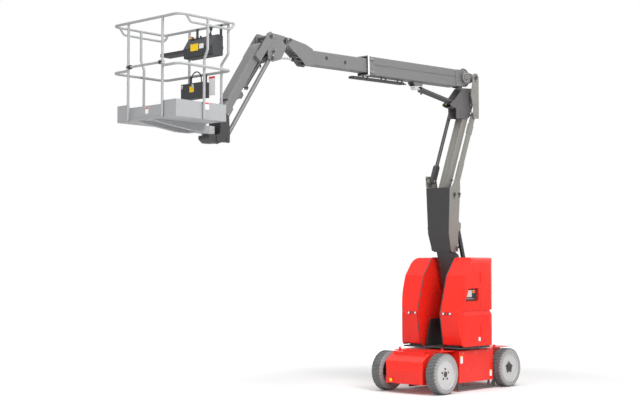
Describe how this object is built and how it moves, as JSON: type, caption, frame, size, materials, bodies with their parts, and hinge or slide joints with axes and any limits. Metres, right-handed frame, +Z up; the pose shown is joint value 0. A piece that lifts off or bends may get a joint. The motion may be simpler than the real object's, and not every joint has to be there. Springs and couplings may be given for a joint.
{
  "type": "self-propelled articulating boom lift",
  "caption": "Wheeled electric articulating boom lift with a folding riser, telescopic boom, jib and railed work platform.",
  "frame": {"origin": "on the ground plane, on the slewing axis, midway between the wheels", "axes": "+X the way the boom points, +Y to the machine's left, +Z up"},
  "size_m": [7.171, 1.274, 4.99],
  "materials": {
    "red": "glossy",
    "dark": "satin",
    "light": "satin",
    "rim": "satin",
    "tyre": "matte",
    "cylinder": "satin",
    "chrome": "polished",
    "pad": "matte",
    "plastic": "matte",
    "cast": "matte",
    "floor": "satin"
  },
  "bodies": {
    "chassis": {"chassis_frame": "dark", "side_panels": "red", "nose_cover": "red", "fixed_axle": "dark", "steer_axle": "dark", "pothole_guards": "dark", "slew_ring": "dark"},
    "turntable": {"turntable_base": "dark", "tail_left": "red", "tail_right": "red", "inner_panels": "red", "batteries": "plastic", "counterweights": "cast"},
    "hood_door_left": {"hood_left": "red"},
    "hood_door_right": {"hood_right": "red"},
    "knuckle_l": {"knuckle_left": "dark"},
    "knuckle_r": {"knuckle_right": "dark"},
    "wheel_fl": {"tyre_fl": "tyre", "rim_fl": "rim"},
    "wheel_fr": {"tyre_fr": "tyre", "rim_fr": "rim"},
    "wheel_rl": {"tyre_rl": "tyre", "rim_rl": "rim"},
    "wheel_rr": {"tyre_rr": "tyre", "rim_rr": "rim"},
    "arm_low": {"lower_arm": "dark"},
    "link_low": {"lower_link": "dark"},
    "upright_mid": {"mid_upright": "light", "upright_cover": "dark"},
    "arm_up": {"upper_arm": "light"},
    "link_front": {"upper_link": "dark"},
    "links_side": {"side_links": "light"},
    "upright_top": {"top_upright": "light", "lift_bracket": "dark"},
    "boom_base": {"boom_outer": "light", "boom_pads": "pad", "hose_drum": "dark"},
    "boom_tip": {"boom_inner": "light", "gooseneck": "light"},
    "nose": {"nose_ears": "dark", "nose_bracket": "light"},
    "jib": {"jib_arm": "light"},
    "jib_lower_link": {"jib_link": "light"},
    "support": {"platform_support": "light", "rotator_base": "dark"},
    "platform": {"platform_beams": "light", "platform_floor": "floor", "platform_rails": "light", "console": "plastic", "tool_box": "plastic"},
    "gate": {"gate_bar": "light"},
    "tower_cyl": {"tower_barrel": "cylinder"},
    "tower_piston": {"tower_rod": "chrome"},
    "lift_cyl": {"lift_barrel": "cylinder"},
    "lift_piston": {"lift_rod": "chrome"},
    "level_cyl": {"level_barrel": "cylinder"},
    "level_piston": {"level_rod": "chrome"},
    "jib_cyl": {"jib_barrel": "cylinder"},
    "jib_piston": {"jib_rod": "chrome"}
  },
  "joints": [
    {"name": "slew", "type": "hinge", "parent": "chassis", "child": "turntable", "pos_m": [0, 0, 0.64], "axis": [0, 0, 1], "range_deg": [-177.5, 177.5]},
    {"name": "tower_lift", "type": "hinge", "parent": "turntable", "child": "arm_low", "pos_m": [-0.32, 0, 0.904], "axis": [0, -1, 0], "range_deg": [-79, 2.5]},
    {"name": "lower_link_foot", "type": "hinge", "parent": "turntable", "child": "link_low", "pos_m": [-0.49, 0, 1.257], "axis": [0, -1, 0], "range_deg": [-79.4, 2.9]},
    {"name": "mid_upright_level", "type": "hinge", "parent": "arm_low", "child": "upright_mid", "pos_m": [0.06, 0, 2.147], "axis": [0, -1, 0], "range_deg": [-2.9, 79.4]},
    {"name": "upper_arm_lift", "type": "hinge", "parent": "upright_mid", "child": "arm_up", "pos_m": [0.1, 0, 2.98], "axis": [0, 1, 0], "range_deg": [-67.9, 2.54]},
    {"name": "front_link_foot", "type": "hinge", "parent": "upright_mid", "child": "link_front", "pos_m": [0.195, 0, 3.19], "axis": [0, 1, 0], "range_deg": [-67.9, 2.54]},
    {"name": "side_links_foot", "type": "hinge", "parent": "upright_mid", "child": "links_side", "pos_m": [-0.025, 0, 2.99], "axis": [0, 1, 0], "range_deg": [-67.9, 2.54]},
    {"name": "top_upright_level", "type": "hinge", "parent": "arm_up", "child": "upright_top", "pos_m": [-0.43, 0, 4.26], "axis": [0, 1, 0], "range_deg": [-2.54, 67.9]},
    {"name": "tower_cylinder_foot", "type": "hinge", "parent": "upright_mid", "child": "tower_cyl", "pos_m": [0.085, 0, 2.35], "axis": [0, -1, 0], "range_deg": [-1.34, 30.03]},
    {"name": "tower_cylinder_stroke", "type": "slide", "parent": "tower_cyl", "child": "tower_piston", "axis": [-0.1822, 0, 0.9833], "range_m": [-0.3121, 0.0138]},
    {"name": "boom_lift", "type": "hinge", "parent": "upright_top", "child": "boom_base", "pos_m": [-0.555, 0, 4.865], "axis": [0, -1, 0], "range_deg": [-4, 60]},
    {"name": "lift_cylinder_foot", "type": "hinge", "parent": "upright_top", "child": "lift_cyl", "pos_m": [-0.2, 0, 4.43], "axis": [0, -1, 0], "range_deg": [-4.48, 61.6]},
    {"name": "lift_cylinder_stroke", "type": "slide", "parent": "lift_cyl", "child": "lift_piston", "axis": [0.989, 0, 0.1476], "range_m": [-0.0416, 0.5686]},
    {"name": "telescope", "type": "slide", "parent": "boom_base", "child": "boom_tip", "axis": [0.9996, 0, -0.0283], "range_m": [-1.15, 0.05]},
    {"name": "nose_level", "type": "hinge", "parent": "boom_tip", "child": "nose", "pos_m": [3.642, 0, 4.898], "axis": [0, -1, 0], "range_deg": [-60.4, 4.4]},
    {"name": "level_cylinder_foot", "type": "hinge", "parent": "boom_tip", "child": "level_cyl", "pos_m": [3.1, 0, 4.7], "axis": [0, -1, 0], "range_deg": [-7.3, 0.86]},
    {"name": "level_cylinder_stroke", "type": "slide", "parent": "level_cyl", "child": "level_piston", "axis": [0.998, 0, -0.063], "range_m": [-0.2884, 0.023]},
    {"name": "jib_lift", "type": "hinge", "parent": "nose", "child": "jib", "pos_m": [4.009, 0, 4.895], "axis": [0, 1, 0], "range_deg": [-105, 10]},
    {"name": "jib_link_foot", "type": "hinge", "parent": "nose", "child": "jib_lower_link", "pos_m": [3.977, 0, 4.609], "axis": [0, 1, 0], "range_deg": [-105.4, 10.4]},
    {"name": "platform_level", "type": "hinge", "parent": "jib", "child": "support", "pos_m": [4.804, 0, 3.763], "axis": [0, 1, 0], "range_deg": [-10.4, 105.4]},
    {"name": "jib_cylinder_foot", "type": "hinge", "parent": "nose", "child": "jib_cyl", "pos_m": [3.96, 0, 4.7], "axis": [0, 1, 0], "range_deg": [-101.31, 10.01]},
    {"name": "jib_cylinder_stroke", "type": "slide", "parent": "jib_cyl", "child": "jib_piston", "axis": [0.6082, 0, -0.7938], "range_m": [-0.0357, 0.3369]},
    {"name": "platform_rotate", "type": "hinge", "parent": "support", "child": "platform", "pos_m": [5, 0, 3.53], "axis": [0, 0, 1], "range_deg": [-90, 90]},
    {"name": "gate_bar_lift", "type": "slide", "parent": "platform", "child": "gate", "axis": [0, 0, 1], "range_m": [0, 0.35]},
    {"name": "steer_l", "type": "hinge", "parent": "chassis", "child": "knuckle_l", "pos_m": [-0.83, 0.47, 0.3], "axis": [0, 0, 1], "range_deg": [-40, 40]},
    {"name": "steer_r", "type": "hinge", "parent": "chassis", "child": "knuckle_r", "pos_m": [-0.83, -0.47, 0.3], "axis": [0, 0, 1], "range_deg": [-41, 41]},
    {"name": "wheel_spin_fl", "type": "hinge", "parent": "chassis", "child": "wheel_fl", "pos_m": [0.83, 0.5125, 0.3], "axis": [0, 1, 0], "continuous": true},
    {"name": "wheel_spin_fr", "type": "hinge", "parent": "chassis", "child": "wheel_fr", "pos_m": [0.83, -0.5125, 0.3], "axis": [0, 1, 0], "continuous": true},
    {"name": "wheel_spin_rl", "type": "hinge", "parent": "knuckle_l", "child": "wheel_rl", "pos_m": [-0.83, 0.5125, 0.3], "axis": [0, 1, 0], "continuous": true},
    {"name": "wheel_spin_rr", "type": "hinge", "parent": "knuckle_r", "child": "wheel_rr", "pos_m": [-0.83, -0.5125, 0.3], "axis": [0, 1, 0], "continuous": true},
    {"name": "hood_open_left", "type": "hinge", "parent": "turntable", "child": "hood_door_left", "pos_m": [-0.07, 0.584, 1.3], "axis": [0, 0, 1], "range_deg": [0, 80]},
    {"name": "hood_open_right", "type": "hinge", "parent": "turntable", "child": "hood_door_right", "pos_m": [-0.07, -0.584, 1.3], "axis": [0, 0, -1], "range_deg": [0, 80]}
  ],
  "couplings": [
    {"joint": "lower_link_foot", "follows": "tower_lift", "ratio": 1},
    {"joint": "mid_upright_level", "follows": "tower_lift", "ratio": -1},
    {"joint": "upper_arm_lift", "follows": "tower_lift", "ratio": 0.85443},
    {"joint": "front_link_foot", "follows": "tower_lift", "ratio": 0.85443},
    {"joint": "side_links_foot", "follows": "tower_lift", "ratio": 0.85443},
    {"joint": "top_upright_level", "follows": "tower_lift", "ratio": -0.85443},
    {"joint": "tower_cylinder_foot", "follows": "tower_lift", "ratio": -0.3751},
    {"joint": "tower_cylinder_stroke", "follows": "tower_lift", "m_per_rad": 0.22345},
    {"joint": "lift_cylinder_foot", "follows": "boom_lift", "ratio": 1.02},
    {"joint": "lift_cylinder_stroke", "follows": "boom_lift", "m_per_rad": 0.53915},
    {"joint": "nose_level", "follows": "boom_lift", "ratio": -1},
    {"joint": "level_cylinder_foot", "follows": "boom_lift", "ratio": -0.115},
    {"joint": "level_cylinder_stroke", "follows": "boom_lift", "m_per_rad": -0.27158},
    {"joint": "jib_link_foot", "follows": "jib_lift", "ratio": 1},
    {"joint": "platform_level", "follows": "jib_lift", "ratio": -1},
    {"joint": "jib_cylinder_foot", "follows": "jib_lift", "ratio": 0.961},
    {"joint": "jib_cylinder_stroke", "follows": "jib_lift", "m_per_rad": -0.18163},
    {"joint": "steer_r", "follows": "steer_l", "ratio": 1}
  ]
}
